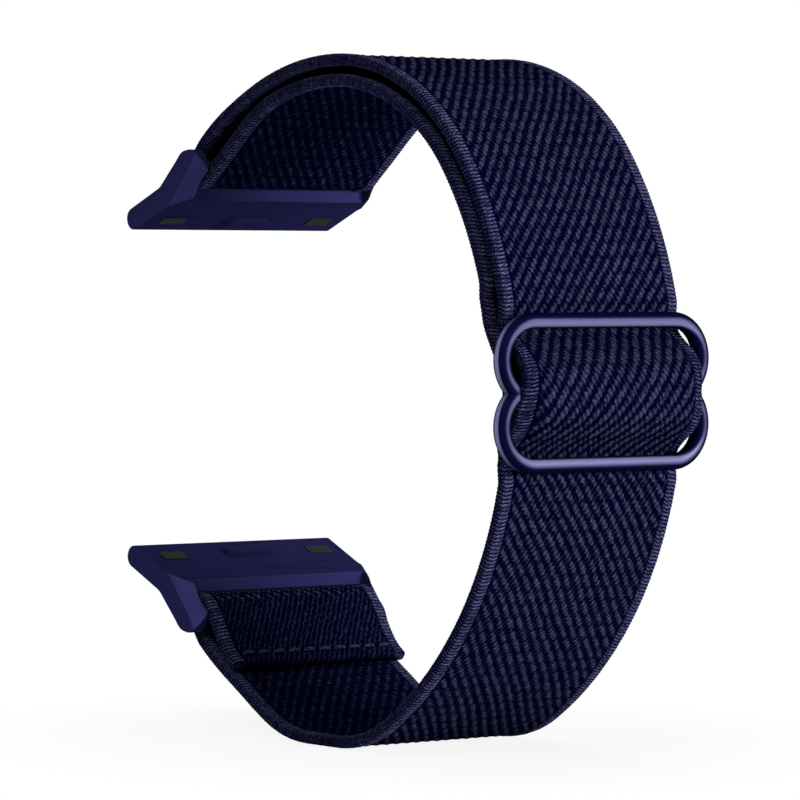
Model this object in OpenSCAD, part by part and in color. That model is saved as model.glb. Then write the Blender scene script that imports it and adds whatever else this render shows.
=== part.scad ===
// Woven elastic watch strap: one strip of webbing, a figure-eight slider buckle
// and two lug adapters with spring bars and press-in catches.
// X runs across the strap, +Z is up and -Y is the buckle side. The loop stands on its lowest bend.

/* [Webbing] */
// Width of the webbing
web_w = 24; // [18:0.5:30]
// Thickness of the webbing
web_t = 1.2; // [0.9:0.05:1.4]
// Width of the thicker woven edge along each side
selvedge_w = 1.3; // [0.8:0.1:2]
// How far the woven edge stands proud of each face
selvedge_proud = 0.06; // [0.02:0.01:0.1]
// Clear gap between the outer and the inner layer of the doubled stretch
layer_gap = 1.2; // [0.9:0.05:1.6]

/* [Loop] */
// Radius of the front of the loop, which the buckle slides along
front_r = 41.8; // [38:0.2:46]
// Direction of the loop, from level, where the front arc starts at the bottom
front_low = 33; // [30:1:36]
// Direction of the loop, from level, where the front arc ends at the top
front_high = 52; // [48:1:56]
// Radius of the bend between the front and the crown
crown_r = 25.5; // [22:0.5:28]
// Radius of the crown's rear slope
rear_top_r = 34.5; // [30:0.5:38]
// Direction of the webbing, from level, at the upper spring bar
rear_top_fall = 40; // [37:1:43]
// Radius of the bend in front of the foot
heel_r = 16.4; // [14:0.2:19]
// Length of the flat foot that the loop stands on
foot_len = 5; // [4:0.5:7]
// Radius of the bend behind the foot
toe_r = 15; // [13:0.5:18]
// Direction of the loop, from level, where the bend behind the foot ends
toe_rise = 28; // [25:1:30]
// Radius of the rear slope under the lower spring bar
rear_low_r = 62; // [55:1:70]
// Direction of the webbing, from level, at the lower spring bar
rear_low_rise = 38; // [36:1:41]

/* [Lug adapters] */
// Straight webbing between the crown's slope and the upper spring bar
upper_lead = 3.9; // [3:0.1:4.8]
// Straight webbing between the rear slope and the lower spring bar
lower_lead = 5.2; // [4.6:0.1:6.5]
// Thickness of each ear beside the webbing
ear_t = 1.4; // [1.3:0.05:1.6]
// Clearance between the webbing and each ear
ear_gap = 0.25; // [0.15:0.05:0.4]
// Length of the tongue, from the spring bar to its tip
tongue_reach = 10.5; // [10:0.1:11.2]
// Drop of the tongue's tip below the spring bar
tongue_drop = 6.1; // [5.8:0.1:6.4]
// Thickness of the tongue
tongue_t = 2.4; // [2.2:0.05:2.8]

/* [Spring bars] */
// Diameter of the spring bar's tube
bar_d = 1.7; // [1.5:0.05:2]
// Diameter of the tube's bore
bar_bore_d = 1.2; // [1.1:0.05:1.3]
// Diameter of the plunger's tip
tip_d = 0.8; // [0.7:0.05:0.9]
// Length of the plunger's shoulder inside the tube
shoulder_len = 5; // [4:0.5:6]
// Travel of each plunger, which stands out of the tube by as much
plunger_travel = 0.7; // [0.55:0.05:0.75]
// Diameter of the spring wire
spring_wire_d = 0.18; // [0.14:0.02:0.22]
// Turns of the spring between the plungers
bar_spring_turns = 11; // [8:1:14]

/* [Catch] */
// Length of the catch's nose, across the strap
catch_len = 6; // [5:0.5:8]
// Width of the catch's nose
catch_w = 1.5; // [1.3:0.1:1.8]
// How far the nose stands out of the tongue, and its travel
catch_proud = 0.7; // [0.5:0.05:0.75]
// Length of the retainer plate
plate_len = 10; // [9.5:0.5:13]
// Width of the retainer plate
plate_w = 3.6; // [3.4:0.1:4]
// Thickness of the retainer plate
plate_t = 0.35; // [0.3:0.05:0.4]
// Turns of each catch spring
catch_spring_turns = 3; // [2:1:4]
// Length of each anti-rattle pad
pad_len = 3.2; // [2.5:0.1:4]
// Width of each anti-rattle pad
pad_w = 1.6; // [1.2:0.1:2]

/* [Buckle] */
// How far the buckle's frame reaches beyond the webbing on each side
buckle_margin = 2.4; // [2.3:0.1:3.5]
// Distance between the centre lines of the top and bottom bars
bar_spacing = 14.8; // [14.4:0.1:15.4]
// Height of the frame's section, seen from the front
wire_h = 1.6; // [1.4:0.05:1.8]
// Depth of the frame's section
wire_depth = 1.9; // [1.7:0.05:2.1]
// Edge rounding of the frame's section
wire_round = 0.62; // [0.5:0.02:0.65]
// Radius of each side lobe, to its centre line
lobe_r = 4.0; // [3.9:0.05:4.1]
// Diameter of the hidden centre bar
centre_bar_d = 1.4; // [1.2:0.05:1.5]
// How far the bars press the webbing in
press_in = 0.5; // [0.3:0.05:0.6]
// Rise of the buckle above the middle of the front arc, in degrees
buckle_lift = 1.15; // [0:0.05:3]
// Webbing thickness at the sewn end, drawn thinner round the centre bar
end_t = 1.1; // [0.9:0.05:1.15]
// Length of the sewn end above the centre bar
tab_len = 10.5; // [9.5:0.5:12]

/* [Stitching] */
// Diameter of the sewing thread
thread_d = 0.4; // [0.3:0.05:0.5]
// Length of one stitch
stitch_len = 1.5; // [1.2:0.1:1.8]
// Distance from one stitch to the next
stitch_pitch = 2.1; // [2:0.1:2.6]
// Length of the folded flap on the rear slope, past the straight stretch
flap_turn = 3.4; // [2.6:0.2:5]

/* [Hidden] */
$fn = 48;
web_colour = "#1a1b39";
metal_colour = "#26266a";
thread_colour = "#2a2b55";
steel_colour = "#b8bac0";
pad_colour = "#202028";

touch = 0.05;        // clearance between pieces that lie against each other
run_fit = 0.05;      // radial clearance of a pin or plunger in its hole
step_deg = 3;        // angle between two stations on a bend
fold_r = bar_d / 2 + 0.1;      // inside radius of the webbing's turn round a spring bar
inner_offset = web_t + layer_gap;   // depth of the inner layer under the outer face
fold_offset = fold_r * 2 + web_t;   // the same at a spring bar, where the layers part

// Outward normal and direction of travel for a loop heading, in the Y-Z plane
function out(h) = [-sin(h), cos(h)];
function along(h) = [cos(h), sin(h)];
// A station is a point on the loop's outer face with its heading
function bend(c, r, h0, h1) =
  let (k = max(2, ceil(abs(h1 - h0) / step_deg)))
  [for (i = [0:k]) let (h = h0 + (h1 - h0) * i / k) [c + r * out(h), h]];
function straight(p, h, len, k = 2) = [for (i = [0:k]) [p + along(h) * len * i / k, h]];
function inside(s, d) = s[0] - d * out(s[1]);
// Outline of a ribbon along the stations, from depth ds[i] to ds[i] + ts[i]
function ribbon(st, ds, ts) = concat(
  [for (i = [0:len(st) - 1]) inside(st[i], ds[i])],
  [for (i = [len(st) - 1:-1:0]) inside(st[i], ds[i] + ts[i])]);
function same(st, v) = [for (s = st) v];
function ease(x) = let (c = max(0, min(1, x))) c * c * (3 - 2 * c);
function reversed(v) = [for (i = [len(v) - 1:-1:0]) v[i]];

// Buckle: overall width, and radii from the centre of the front arc
buckle_w = web_w + 2 * buckle_margin;
buckle_h = 90 - buckle_lift;
press_r = front_r - press_in;
buckle_r = press_r + touch + wire_depth / 2;
half_pitch = bar_spacing / 2;
centre_bar_r = buckle_r - (wire_depth - centre_bar_d) / 2;
wrap_in = centre_bar_d / 2 + touch;
wrap_out = wrap_in + end_t;
crest_r = centre_bar_r + wrap_out + touch + web_t;

// Lug adapter's side outline, with the spring bar as its origin
function polar(a, r = 1) = [r * cos(a), r * sin(a)];
// Outline with each corner [y, z, radius] rounded by a tangent arc
function rounded(c, k = 6) = [
  for (i = [0:len(c) - 1])
    let (
      b = [c[i][0], c[i][1]],
      p = c[(i + len(c) - 1) % len(c)],
      q = c[(i + 1) % len(c)],
      u = ([p[0], p[1]] - b) / norm([p[0], p[1]] - b),
      v = ([q[0], q[1]] - b) / norm([q[0], q[1]] - b),
      half = acos(u * v) / 2,
      centre = b + (u + v) / norm(u + v) * c[i][2] / sin(half),
      t0 = b + u * c[i][2] / tan(half) - centre,
      t1 = b + v * c[i][2] / tan(half) - centre,
      a0 = atan2(t0[1], t0[0]),
      turn = atan2(t1[1], t1[0]) - a0,
      sweep = turn > 180 ? turn - 360 : turn < -180 ? turn + 360 : turn)
    for (j = [0:k]) centre + polar(a0 + sweep * j / k, c[i][2])];
function corner(p, r) = [p[0], p[1], r];
tongue_fall = 24.5;          // slope of the tongue, in degrees
tongue_half = tongue_t / 2;
tongue_up_len = 6.9;         // flat length of the tongue's upper face
tongue_low_len = 6.6;        // flat length of its under face
ear_r = 2;                   // reach of the ear in front of and above the bar
ear_low = -2.4;
tip = [tongue_reach, -tongue_drop];
fall = [cos(tongue_fall), -sin(tongue_fall)];
tip_up = tip + tongue_half * [-fall[1], fall[0]];
tip_low = tip - tongue_half * [-fall[1], fall[0]];
ear_outline = rounded([
  [-ear_r - 0.3, ear_r - 0.4, ear_r - 0.2],
  [1, ear_r - 0.4, ear_r - 0.4],
  corner(tip_up - tongue_up_len * fall, 2.4),
  corner(tip_up, tongue_half * 0.96),
  corner(tip_low, tongue_half * 0.96),
  corner(tip_low - tongue_low_len * fall, 2.5),
  [-ear_r - 0.3, ear_low, ear_r - 0.4]]);
bevel_turn = 34;             // turn of the ear's bevel from the end face
bevel_dip = 26;              // and its dip
bevel_at = [-0.4, -0.1];     // point of the bevel's upper edge on the end face
bevel_cut = 4 * (ear_r + ear_t);   // reach of the bevel's cut, past the ear all round

// Centres of the loop's arcs, each tangent to the next, and the two spring bars
upper_h = -rear_top_fall;
lower_h = 180 + rear_low_rise;
fold_out = fold_r + web_t;
foot_z = selvedge_proud;   // the woven edges stand on the floor
heel_at = [0, heel_r + foot_z];
front_at = heel_at + (heel_r - front_r) * out(180 - front_low);
crown_at = front_at + (front_r - crown_r) * out(front_high);
rear_top_at = crown_at + (crown_r - rear_top_r) * out(0);
toe_at = [foot_len, toe_r + foot_z];
rear_low_at = toe_at + (toe_r - rear_low_r) * out(180 + toe_rise);
upper_at = rear_top_at + (rear_top_r - fold_out) * out(upper_h) + upper_lead * along(upper_h);
lower_at = rear_low_at + (rear_low_r - fold_out) * out(lower_h) - lower_lead * along(lower_h);

// The model stands centred on the origin, from the buckle's crest to the tongues' tips
front_end = front_at[0] - crest_r;
rear_end = max(upper_at[0], lower_at[0]) + max([for (p = ear_outline) p[0]]);
middle = [-(front_end + rear_end) / 2, 0];
heel_c = heel_at + middle;
front_c = front_at + middle;
crown_c = crown_at + middle;
rear_top_c = rear_top_at + middle;
toe_c = toe_at + middle;
rear_low_c = rear_low_at + middle;
upper_bar = upper_at + middle;
lower_bar = lower_at + middle;
upper_start = upper_bar + fold_out * out(upper_h) - upper_lead * along(upper_h);
lower_end = lower_bar + fold_out * out(lower_h);

// Near the buckle r is the distance from front_c and s runs up the loop
function s_heading(s) = buckle_h - s / front_r * 180 / PI;
function rs(r, s) = front_c + r * out(s_heading(s));
rise_len = half_pitch - wire_h + 0.5;   // the pass starts to rise inside the frame's window
rise_pow = 1.5;   // over 1 flattens the crest of the pass and steepens its sides
function cover(s) = (1 + cos(180 * pow(min(1, abs(s) / rise_len), rise_pow))) / 2;
function slope(s) =
  abs(s) >= rise_len ? 0
  : (crest_r - press_r) * PI / 2 * rise_pow * pow(abs(s) / rise_len, rise_pow - 1) / rise_len
    * sin(180 * pow(abs(s) / rise_len, rise_pow));
function lean(s) = sqrt(1 + pow(slope(s), 2));
function pass_out(s) = press_r + (crest_r - press_r) * cover(s);
// Inner face of the pass, which bears on the wrapped end below the centre bar
function wrap_top(s) = centre_bar_r + sqrt(max(0, pow(wrap_out, 2) - s * s)) + touch;
function pass_in(s) =
  let (plain = pass_out(s) - web_t * lean(s))
  s > 0 || s < -wrap_out ? plain : max(plain, wrap_top(s));
function tab_out(s) = pass_in(s) - touch;
function tab_in(s) = tab_out(s) - end_t * lean(s);
function back_out(s) = min(centre_bar_r - wrap_in, tab_in(s) - touch);
function back_in(s) = back_out(s) - end_t * (s < half_pitch ? 1 + (lean(s) - 1) * min(1, s / 2) : 1);

// Depth of the webbing's outer face under the loop's face, near the bars of the buckle
settle = 4.5;   // length over which the webbing eases from the buckle back to the loop
function press_at(h) =
  let (s = abs(buckle_h - h) * PI / 180 * front_r)
  press_in * (1 - ease((s - half_pitch) / settle));

ear_in = web_w / 2 + ear_gap;       // inner face of each ear, from the middle
adapter_w = 2 * (ear_in + ear_t);
turn_room = fold_out + 0.35;        // pocket radius round the webbing's turn

// Spring bar
tube_len = 2 * ear_in - 0.2;
tube_wall_end = 0.3;
tip_end = tube_len / 2 + plunger_travel;
ear_hole_depth = tip_end - ear_in + 0.1;
spring_r = bar_bore_d / 2 - 0.1 - spring_wire_d / 2;
shoulder_x = tube_len / 2 - tube_wall_end - touch;   // outer face of the shoulder
spring_span = 2 * (shoulder_x - shoulder_len - touch);

// Catch, in the tongue's own frame: Y towards the tip, Z from the under face into the tongue
catch_at = 6.9;      // distance from the spring bar to the catch, along the tongue
pocket_len = 8.6;
pocket_w = 2.5;
flange_t = 0.4;
catch_spring_h = 1.0;
pocket_depth = plate_t + flange_t + catch_spring_h + touch;
catch_spring_x = 2.9;
catch_spring_r = 0.5;
pad_x = adapter_w / 2 - 3.4;   // middle of each rubber pad, from the middle of the tongue
pad_sunk = 0.35;
pad_proud = 0.15;

// Puts a Y-Z outline across the strap
module across(w, x = 0) {
  translate([x, 0, 0]) rotate([90, 0, 90]) linear_extrude(w, center = true) children();
}
module x_rod(d, len, x = 0) {
  translate([x, 0, 0]) rotate([0, 90, 0]) cylinder(d = d, h = len, center = true);
}
// Ribbon with the thicker woven edge down both sides
module webbing(st, ds, ts) {
  proud = [for (t = ts) t + 2 * selvedge_proud];
  raised = [for (d = ds) d - selvedge_proud];
  color(web_colour) {
    across(web_w - 2 * selvedge_w) polygon(ribbon(st, ds, ts));
    for (side = [-1, 1])
      across(selvedge_w, side * (web_w - selvedge_w) / 2) polygon(ribbon(st, raised, proud));
  }
}
module at_upper() { translate([0, upper_bar[0], upper_bar[1]]) children(); }
module at_lower() { translate([0, lower_bar[0], lower_bar[1]]) mirror([0, 0, 1]) children(); }
module in_tongue() {
  place = tip_low - (tongue_reach - catch_at) * fall;
  translate([0, place[0], place[1]]) rotate([-tongue_fall, 0, 0]) children();
}
// Row of stitches lying on a webbing face, at one station and depth
module stitch_row(p, x_max) {
  count = floor((2 * x_max - stitch_len) / stitch_pitch);
  color(thread_colour)
    for (i = [0:count])
      translate([0, p[0], p[1]]) x_rod(thread_d, stitch_len, (i - count / 2) * stitch_pitch);
}

// The rear slope and the bend behind the foot, from the lower spring bar down
flap_h = lower_h - flap_turn / rear_low_r * 180 / PI;
fold_slope = bend(rear_low_c, rear_low_r, lower_h, flap_h);
lower_straight = straight(lower_end, lower_h, lower_lead);
module webbing_lower_fold() {
  run = concat(lower_straight, [for (i = [1:len(fold_slope) - 1]) fold_slope[i]]);
  n = len(run) - 1;
  turn = bend(lower_bar, fold_out, lower_h, lower_h + 180);
  // depth of the flap's far face: wide apart at the bar, lying on the run at the seam
  flap_lie = 2 * web_t + 2 * selvedge_proud + touch;
  flap = [for (i = [1:n])
    let (far = norm(run[i][0] - run[0][0]) / norm(run[n][0] - run[0][0]))
    [inside(run[i], fold_offset + web_t + (flap_lie - fold_offset - web_t) * ease(far * 1.15)),
      run[i][1] + 180]];
  st = concat(reversed(run), [for (i = [1:len(turn) - 1]) turn[i]], flap);
  webbing(st, same(st, 0), same(st, web_t));
}
module webbing_lower_run() {
  slope_part = bend(rear_low_c, rear_low_r, flap_h, 180 + toe_rise);
  toe = bend(toe_c, toe_r, 180 + toe_rise, 180);
  heel = bend(heel_c, heel_r, 180, 180 - front_low);
  front = bend(front_c, front_r, 180 - front_low, s_heading(-half_pitch));
  st = concat(slope_part, [for (i = [1:len(toe) - 1]) toe[i]], heel,
    [for (i = [1:len(front) - 1]) front[i]]);
  low_end = 180 - front_low;
  // the front arc starts a little thick, then its inner face is cut as a true cylinder
  ts = [for (s = st) s[1] < low_end - 0.1 ? web_t + front_spare : web_t];
  difference() {
    webbing(st, [for (s = st) s[1] > 140 ? 0 : press_at(s[1])], ts);
    front_sector(front_r - web_t, s_heading(-half_pitch) - 1, low_end);
  }
}
front_spare = 0.06;   // thickness left on the front arc for that cut
// Sector of a cylinder about the centre of the front arc, between two loop headings
module front_sector(r, h0, h1) {
  translate([-web_w, front_c[0], front_c[1]])
    rotate([90, 0, 90])
      rotate([0, 0, h0 + 90])
        rotate_extrude(angle = h1 - h0, $fn = 200) square([r, 2 * web_w]);
}
module webbing_outer_layer() {
  front = bend(front_c, front_r, s_heading(half_pitch), front_high);
  crown = bend(crown_c, crown_r, front_high, 0);
  rear = bend(rear_top_c, rear_top_r, 0, upper_h);
  st = concat(front, [for (i = [1:len(crown) - 1]) crown[i]], [for (i = [1:len(rear) - 1]) rear[i]]);
  webbing(st, [for (s = st) s[1] < 40 ? 0 : press_at(s[1])], same(st, web_t));
}
module webbing_upper_fold() {
  turn = bend(upper_bar, fold_out, upper_h, upper_h - 180);
  back = straight(upper_bar - fold_out * out(upper_h), upper_h - 180, upper_lead);
  st = concat(straight(upper_start, upper_h, upper_lead),
    [for (i = [1:len(turn) - 1]) turn[i]], [for (i = [1:len(back) - 1]) back[i]]);
  webbing(st, same(st, 0), same(st, web_t));
}
module webbing_inner_layer() {
  front = bend(front_c, front_r, s_heading(tab_len), front_high);
  crown = bend(crown_c, crown_r, front_high, 0);
  rear = bend(rear_top_c, rear_top_r, 0, upper_h);
  st = concat(front, [for (i = [1:len(crown) - 1]) crown[i]], [for (i = [1:len(rear) - 1]) rear[i]]);
  end_d = front_r - back_out(tab_len);
  ahead = [for (s = st) (s_heading(tab_len) - s[1]) * PI / 180 * front_r / settle];
  webbing(st,
    [for (i = [0:len(st) - 1])
      end_d + (inner_offset - end_d) * ease(ahead[i])
      + (fold_offset - inner_offset) * ease((-st[i][1] - 12) / (rear_top_fall - 12))],
    [for (a = ahead) end_t + (web_t - end_t) * ease(a)]);
}
// The pass and the tab behind it are drawn at the same distances from the centre bar
half_steps = 20;
pass_step = half_pitch / half_steps;
module webbing_buckle_pass() {
  s = [for (i = [-half_steps:half_steps]) pass_step * i];
  color(web_colour)
    across(web_w)
      polygon(concat([for (v = s) rs(pass_out(v), v)], [for (v = reversed(s)) rs(pass_in(v), v)]));
}
// The strip's end: behind the centre bar, round under it, and up in front as a sewn tab
module webbing_anchor_loop() {
  past_bar = tab_len - half_pitch;
  s = concat([for (i = [0:half_steps]) pass_step * i],
    [for (i = [1:6]) half_pitch + past_bar * i / 6]);
  bar = rs(centre_bar_r, 0);
  function ring(r, a) = bar + r * out(buckle_h + a);
  // as wide as the waist of the frame lets through
  end_w = 2 * (lobe_x + (lobe_r - wire_h / 2) * cos(lobe_end) - 2 * touch);
  color(web_colour)
    across(min(web_w, end_w))
      polygon(concat(
        [for (v = reversed(s)) rs(back_in(v), v)],
        [for (a = [170:-10:10]) ring(wrap_out, a)],
        [for (v = s) rs(tab_out(v), v)],
        [for (v = reversed(s)) rs(tab_in(v), v)],
        [for (a = [10:10:170]) ring(wrap_in, a)],
        [for (v = s) rs(back_out(v), v)]));
}
module flap_stitching() {
  seam_st = [rear_low_c + rear_low_r * out(flap_h + 1.1), flap_h + 1.1];
  top = 2 * web_t + 2 * selvedge_proud + 2 * touch;
  stitch_row(inside(seam_st, top + thread_d / 2 + 0.02), web_w / 2 - selvedge_w);
  stitch_row(inside(seam_st, -thread_d / 2 - 0.02), web_w / 2 - selvedge_w);
}
module anchor_stitching() {
  seam_s = tab_len - 1.6;
  stitch_row(rs(back_in(seam_s) - thread_d / 2 - 0.02, seam_s), web_w / 2 - selvedge_w - 1);
}

// Frame section, rounded on its long edges; inset makes it smaller all round
function wire_section(inset = 0) =
  let (h = wire_h / 2 - inset, d = wire_depth / 2 - inset, r = wire_round - inset)
  rounded([[-h, -d, r], [h, -d, r], [h, d, r], [-h, d, r]], 6);
lobe_x = buckle_w / 2 - wire_h / 2 - lobe_r;
lobe_s = half_pitch - lobe_r;
lobe_end = 60;   // direction, below level, in which each lobe's wire meets the waist
waist_lap = 0.03;   // overlap of the two halves at the waist
bar_inset = 0.02;   // the bars run a little way into the lobes' ends
// Upper half of the frame: one bar and its two side lobes, which end at the waist
module frame_half() {
  translate([0, half_pitch, 0])
    rotate([90, 0, 90])
      linear_extrude(2 * lobe_x + 0.4, center = true) polygon(wire_section(bar_inset));
  for (side = [0, 1])
    mirror([side, 0, 0]) difference() {
      translate([lobe_x, lobe_s, 0])
        rotate([0, 0, -lobe_end])
          rotate_extrude(angle = 90 + lobe_end) translate([lobe_r, 0]) polygon(wire_section());
      translate([lobe_x - lobe_r - wire_h, -2 * lobe_r - waist_lap, -wire_depth])
        cube([2 * (lobe_r + wire_h), 2 * lobe_r, 2 * wire_depth]);
    }
}
module buckle_frame() {
  mid = rs(buckle_r, 0);
  waist_x = lobe_x + sqrt(pow(lobe_r, 2) - pow(lobe_s, 2));
  color(metal_colour)
    translate([0, mid[0], mid[1]]) rotate([90 - buckle_lift, 0, 0]) {
      frame_half();
      mirror([0, 1, 0]) frame_half();
      translate([0, 0, -(wire_depth - centre_bar_d) / 2])
        rotate([37, 0, 0]) x_rod(centre_bar_d, 2 * waist_x);
    }
}

// Lug adapter, in the frame of its spring bar
module adapter_body() {
  color(metal_colour)
    difference() {
      across(adapter_w) polygon(ear_outline);
      // room for the webbing's turn and its two layers, between the ears
      x_rod(2 * turn_room, 2 * ear_in);
      translate([-ear_in, -2 * turn_room, -2 * turn_room])
        cube([2 * ear_in, turn_room * (2 + cos(60)), 4 * turn_room]);
      // blind holes for the spring bar's tips
      for (side = [-1, 1])
        x_rod(tip_d + 2 * run_fit, ear_hole_depth, side * (ear_in + ear_hole_depth / 2 - 0.005));
      // bevel on each ear's lower front edge
      for (side = [-1, 1])
        translate([side * adapter_w / 2, bevel_at[0], bevel_at[1]])
          rotate([0, bevel_dip, side > 0 ? -bevel_turn : bevel_turn - 180])
            translate([0, -bevel_cut / 2, -bevel_cut / 2]) cube([bevel_cut / 2, bevel_cut, bevel_cut]);
      in_tongue() {
        translate([-plate_len / 2, -plate_w / 2, -1]) cube([plate_len, plate_w, 1 + plate_t]);
        translate([-pocket_len / 2, -pocket_w / 2, 0]) cube([pocket_len, pocket_w, pocket_depth]);
        for (side = [-1, 1])
          translate([side * pad_x - pad_len / 2, -pad_w / 2, -1]) cube([pad_len, pad_w, 1 + pad_sunk]);
      }
    }
}
// Rubber pads, one near each end of the tongue, a little proud of its under face
module pads() {
  gap = 0.02;
  color(pad_colour)
    in_tongue() for (side = [-1, 1])
      translate([side * pad_x - pad_len / 2 + gap, -pad_w / 2 + gap, -pad_proud])
        cube([pad_len - 2 * gap, pad_w - 2 * gap, pad_sunk + pad_proud - gap]);
}
module bar_tube() {
  color(steel_colour)
    difference() {
      x_rod(bar_d, tube_len);
      x_rod(bar_bore_d, tube_len - 2 * tube_wall_end);
      x_rod(tip_d + 2 * run_fit, tube_len + 2);
    }
}
// Plunger on one side; its tip seats in the ear and its shoulder stays in the tube
module plunger(side) {
  color(steel_colour) {
    x_rod(bar_bore_d - 2 * run_fit, shoulder_len, side * (shoulder_x - shoulder_len / 2));
    x_rod(tip_d, tip_end - shoulder_x, side * (tip_end + shoulder_x) / 2);
  }
}
// Helical tube along X: one polyhedron, with closed flat ends
module coil(r, wire_r, span, turns, sides = 6, per_turn = 10) {
  n = turns * per_turn;
  pts = [for (i = [0:n], k = [0:sides - 1])
    let (a = 360 * i / per_turn, w = 360 * k / sides, q = r + wire_r * cos(w))
    [(span - 2 * wire_r) * (i / n - 0.5) + wire_r * sin(w), q * cos(a), q * sin(a)]];
  side_faces = [for (i = [0:n - 1], k = [0:sides - 1])
    let (a = i * sides + k, b = i * sides + (k + 1) % sides)
    each [[a, a + sides, b + sides], [a, b + sides, b]]];
  caps = [for (k = [1:sides - 2]) each [[0, k, k + 1],
    [n * sides, n * sides + k + 1, n * sides + k]]];
  polyhedron(pts, concat(side_faces, caps));
}
module bar_spring() {
  color(steel_colour) coil(spring_r, spring_wire_d / 2, spring_span, bar_spring_turns);
}
module catch_piece() {
  flange_gap = 0.1;
  color(metal_colour)
    in_tongue() {
      translate([-pocket_len / 2 + flange_gap, -pocket_w / 2 + flange_gap, plate_t + touch / 2])
        cube([pocket_len - 2 * flange_gap, pocket_w - 2 * flange_gap, flange_t]);
      // pill-shaped nose through the plate
      translate([0, 0, -catch_proud])
        for (part = [-1, 0, 1])
          if (part == 0)
            translate([-catch_len / 2 + catch_w / 2, -catch_w / 2, 0])
              cube([catch_len - catch_w, catch_w, catch_proud + plate_t + flange_t / 2]);
          else
            translate([part * (catch_len - catch_w) / 2, 0, 0])
              cylinder(d = catch_w, h = catch_proud + plate_t + flange_t / 2);
    }
}
module catch_springs() {
  base = plate_t + touch / 2 + flange_t;
  color(steel_colour)
    in_tongue() for (side = [-1, 1])
      translate([side * catch_spring_x, 0, base + touch / 2 + (pocket_depth - base - touch) / 2])
        rotate([0, 90, 0])
          coil(catch_spring_r, 0.08, pocket_depth - base - touch, catch_spring_turns);
}
module catch_plate() {
  gap = 0.02;
  hole = catch_w + 0.16;
  color(metal_colour)
    in_tongue() difference() {
      translate([-plate_len / 2 + gap, -plate_w / 2 + gap, 0])
        cube([plate_len - 2 * gap, plate_w - 2 * gap, plate_t]);
      translate([-(catch_len - catch_w) / 2, -hole / 2, -1]) cube([catch_len - catch_w, hole, 3]);
      for (side = [-1, 1])
        translate([side * (catch_len - catch_w) / 2, 0, -1]) cylinder(d = hole, h = 3);
    }
}

webbing_lower_fold();
webbing_lower_run();
webbing_buckle_pass();
webbing_outer_layer();
webbing_upper_fold();
webbing_inner_layer();
webbing_anchor_loop();
flap_stitching();
anchor_stitching();
buckle_frame();
at_upper() adapter_body();  // upper_adapter_body
at_upper() bar_tube();  // upper_bar_tube
at_upper() plunger(-1);  // upper_plunger_left
at_upper() plunger(1);  // upper_plunger_right
at_upper() bar_spring();  // upper_bar_spring
at_upper() catch_piece();  // upper_catch
at_upper() catch_springs();  // upper_catch_springs
at_upper() catch_plate();  // upper_catch_plate
at_upper() pads();  // upper_pads
at_lower() adapter_body();  // lower_adapter_body
at_lower() bar_tube();  // lower_bar_tube
at_lower() plunger(-1);  // lower_plunger_left
at_lower() plunger(1);  // lower_plunger_right
at_lower() bar_spring();  // lower_bar_spring
at_lower() catch_piece();  // lower_catch
at_lower() catch_springs();  // lower_catch_springs
at_lower() catch_plate();  // lower_catch_plate
at_lower() pads();  // lower_pads
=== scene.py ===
import math

import bmesh
import bpy
import numpy as np
from mathutils import Matrix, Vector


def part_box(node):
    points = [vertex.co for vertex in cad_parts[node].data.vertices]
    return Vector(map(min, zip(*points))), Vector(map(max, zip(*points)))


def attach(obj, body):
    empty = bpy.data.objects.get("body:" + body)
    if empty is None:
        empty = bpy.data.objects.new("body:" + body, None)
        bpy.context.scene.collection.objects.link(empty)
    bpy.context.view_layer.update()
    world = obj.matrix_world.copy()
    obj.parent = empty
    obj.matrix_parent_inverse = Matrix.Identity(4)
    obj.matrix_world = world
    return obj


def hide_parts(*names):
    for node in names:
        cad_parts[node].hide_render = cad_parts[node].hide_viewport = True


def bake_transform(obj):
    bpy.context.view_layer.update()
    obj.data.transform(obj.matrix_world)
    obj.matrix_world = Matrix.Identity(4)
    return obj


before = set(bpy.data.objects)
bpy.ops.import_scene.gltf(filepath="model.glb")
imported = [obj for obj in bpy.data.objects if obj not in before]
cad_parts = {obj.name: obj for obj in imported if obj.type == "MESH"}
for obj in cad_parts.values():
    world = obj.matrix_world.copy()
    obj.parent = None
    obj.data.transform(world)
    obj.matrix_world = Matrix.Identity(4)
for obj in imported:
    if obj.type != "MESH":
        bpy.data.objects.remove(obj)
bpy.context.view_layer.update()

# ---------------------------------------------------------------- Table, light and camera
# A plain white table top and surround, lit by three soft boxes: one low in front, one high
# on the left and one behind. The camera looks at the buckle side from the left, level with
# the middle of the strap.
MM = 0.001
WHITE = (1, 1, 1, 1)
TABLE_WIDTH = 3.0
TABLE_COLOUR = (0.86, 0.86, 0.87, 1)
SHADOW_KEPT = 0.12      # share of the table's own shading that shows near the strap
FADE_NEAR, FADE_FAR = 0.02, 0.055   # distances over which the table fades into the surround
ROOM_LEVEL = 0.15       # light of the room on the strap

table_mesh = bpy.data.meshes.new("table_top")
half = TABLE_WIDTH / 2
table_mesh.from_pydata([(-half, -half, 0), (half, -half, 0), (half, half, 0), (-half, half, 0)],
                       [], [(0, 1, 2, 3)])
table = bpy.data.objects.new("table_top", table_mesh)
bpy.context.scene.collection.objects.link(table)


def put(tree, kind, inputs=None, **settings):
    """Adds a node, sets its options, and fills or links its inputs by name or number."""
    node = tree.nodes.new(kind)
    for key, value in settings.items():
        setattr(node, key, value)
    for key, value in (inputs or {}).items():
        if isinstance(value, bpy.types.NodeSocket):
            tree.links.new(value, node.inputs[key])
        else:
            node.inputs[key].default_value = value
    return node


def math_of(tree, operation, a, b=0.0, clamp=False):
    """One step of arithmetic on numbers or sockets."""
    node = put(tree, "ShaderNodeMath", {0: a, 1: b}, operation=operation, use_clamp=clamp)
    return node.outputs[0]


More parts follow.
